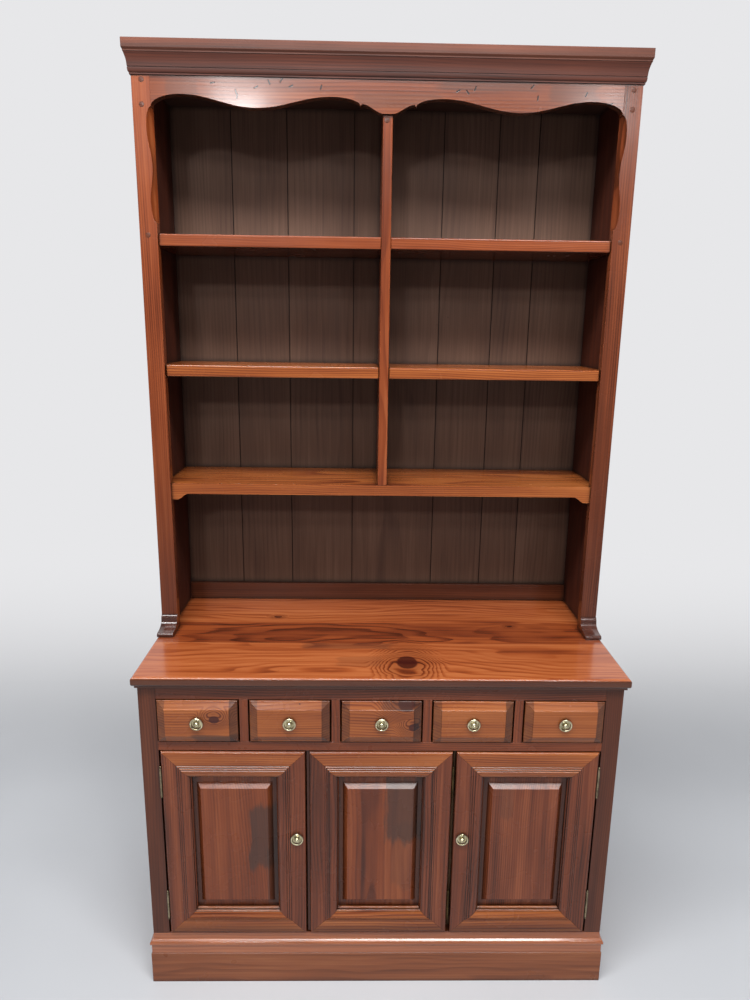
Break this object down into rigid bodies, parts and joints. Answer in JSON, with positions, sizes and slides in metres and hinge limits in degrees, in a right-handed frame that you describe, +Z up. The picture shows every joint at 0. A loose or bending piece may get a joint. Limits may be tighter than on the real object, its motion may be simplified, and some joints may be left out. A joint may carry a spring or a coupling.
{
  "type": "dresser with hutch",
  "caption": "Stained pine dresser: a base with a row of small drawers over panelled doors, and an open shelved hutch with a scalloped apron and moulded cornice.",
  "frame": {"origin": "on the floor, under the middle of the whole piece's box", "axes": "+Z up, +X to the right of someone facing the doors, the front faces -Y"},
  "size_m": [1.044, 0.4774, 1.985],
  "materials": {
    "stained_pine": "satin reddish-brown stain over pine",
    "worktop_pine": "polished orange-brown stain with dark grain and knots",
    "back_boards": "matt dark grey-brown stain",
    "inner_pine": "bare pine",
    "aged_brass": "aged, satin"
  },
  "bodies": {
    "carcass": {"plinth": "stained_pine", "base_side_left": "stained_pine", "base_side_right": "stained_pine", "base_floor": "inner_pine", "base_back": "inner_pine", "base_face_frame": "stained_pine", "worktop": "worktop_pine", "drawer_deck": "inner_pine", "hinge_post": "inner_pine", "door_left_hinge_1": "aged_brass", "door_left_hinge_2": "aged_brass", "door_middle_hinge_1": "aged_brass", "door_middle_hinge_2": "aged_brass", "door_right_hinge_1": "aged_brass", "door_right_hinge_2": "aged_brass", "hutch_side_left": "stained_pine", "hutch_side_right": "stained_pine", "hutch_stile_left": "stained_pine", "hutch_stile_right": "stained_pine", "hutch_apron": "stained_pine", "hutch_cornice": "stained_pine", "hutch_ceiling": "back_boards", "hutch_divider": "stained_pine", "upper_shelf_left": "stained_pine", "upper_shelf_right": "stained_pine", "middle_shelf_left": "stained_pine", "middle_shelf_right": "stained_pine", "lower_shelf": "stained_pine", "hutch_back_boards": "back_boards", "hutch_back_rail": "stained_pine"},
    "drawer_1": {"drawer_1_front": "stained_pine", "drawer_1_box": "inner_pine", "drawer_1_pull": "aged_brass"},
    "drawer_1_ring": {"drawer_1_ring": "aged_brass"},
    "drawer_2": {"drawer_2_front": "stained_pine", "drawer_2_box": "inner_pine", "drawer_2_pull": "aged_brass"},
    "drawer_2_ring": {"drawer_2_ring": "aged_brass"},
    "drawer_3": {"drawer_3_front": "stained_pine", "drawer_3_box": "inner_pine", "drawer_3_pull": "aged_brass"},
    "drawer_3_ring": {"drawer_3_ring": "aged_brass"},
    "drawer_4": {"drawer_4_front": "stained_pine", "drawer_4_box": "inner_pine", "drawer_4_pull": "aged_brass"},
    "drawer_4_ring": {"drawer_4_ring": "aged_brass"},
    "drawer_5": {"drawer_5_front": "stained_pine", "drawer_5_box": "inner_pine", "drawer_5_pull": "aged_brass"},
    "drawer_5_ring": {"drawer_5_ring": "aged_brass"},
    "door_left": {"door_left_frame": "stained_pine", "door_left_panel": "stained_pine", "door_left_pull": "aged_brass"},
    "door_left_ring": {"door_left_ring": "aged_brass"},
    "door_middle": {"door_middle_frame": "stained_pine", "door_middle_panel": "stained_pine"},
    "door_right": {"door_right_frame": "stained_pine", "door_right_panel": "stained_pine", "door_right_pull": "aged_brass"},
    "door_right_ring": {"door_right_ring": "aged_brass"}
  },
  "joints": [
    {"name": "drawer_1_slide", "type": "slide", "parent": "carcass", "child": "drawer_1", "axis": [0, -1, 0], "range_m": [0, 0.28]},
    {"name": "drawer_2_slide", "type": "slide", "parent": "carcass", "child": "drawer_2", "axis": [0, -1, 0], "range_m": [0, 0.28]},
    {"name": "drawer_3_slide", "type": "slide", "parent": "carcass", "child": "drawer_3", "axis": [0, -1, 0], "range_m": [0, 0.28]},
    {"name": "drawer_4_slide", "type": "slide", "parent": "carcass", "child": "drawer_4", "axis": [0, -1, 0], "range_m": [0, 0.28]},
    {"name": "drawer_5_slide", "type": "slide", "parent": "carcass", "child": "drawer_5", "axis": [0, -1, 0], "range_m": [0, 0.28]},
    {"name": "drawer_1_ring_swing", "type": "hinge", "parent": "drawer_1", "child": "drawer_1_ring", "pos_m": [-0.3796, -0.23385, 0.662], "axis": [-1, 0, 0], "range_deg": [0, 95]},
    {"name": "drawer_2_ring_swing", "type": "hinge", "parent": "drawer_2", "child": "drawer_2_ring", "pos_m": [-0.1898, -0.23385, 0.662], "axis": [-1, 0, 0], "range_deg": [0, 95]},
    {"name": "drawer_3_ring_swing", "type": "hinge", "parent": "drawer_3", "child": "drawer_3_ring", "pos_m": [0, -0.23385, 0.662], "axis": [-1, 0, 0], "range_deg": [0, 95]},
    {"name": "drawer_4_ring_swing", "type": "hinge", "parent": "drawer_4", "child": "drawer_4_ring", "pos_m": [0.1898, -0.23385, 0.662], "axis": [-1, 0, 0], "range_deg": [0, 95]},
    {"name": "drawer_5_ring_swing", "type": "hinge", "parent": "drawer_5", "child": "drawer_5_ring", "pos_m": [0.3796, -0.23385, 0.662], "axis": [-1, 0, 0], "range_deg": [0, 95]},
    {"name": "door_left_swing", "type": "hinge", "parent": "carcass", "child": "door_left", "pos_m": [-0.4623, -0.22075, 0.355], "axis": [0, 0, -1], "range_deg": [0, 110]},
    {"name": "door_middle_swing", "type": "hinge", "parent": "carcass", "child": "door_middle", "pos_m": [0.1531, -0.22075, 0.355], "axis": [0, 0, 1], "range_deg": [0, 100]},
    {"name": "door_right_swing", "type": "hinge", "parent": "carcass", "child": "door_right", "pos_m": [0.4623, -0.22075, 0.355], "axis": [0, 0, 1], "range_deg": [0, 110]},
    {"name": "door_left_ring_swing", "type": "hinge", "parent": "door_left", "child": "door_left_ring", "pos_m": [-0.1776, -0.22785, 0.385], "axis": [-1, 0, 0], "range_deg": [0, 95]},
    {"name": "door_right_ring_swing", "type": "hinge", "parent": "door_right", "child": "door_right_ring", "pos_m": [0.1776, -0.22785, 0.385], "axis": [-1, 0, 0], "range_deg": [0, 95]}
  ]
}
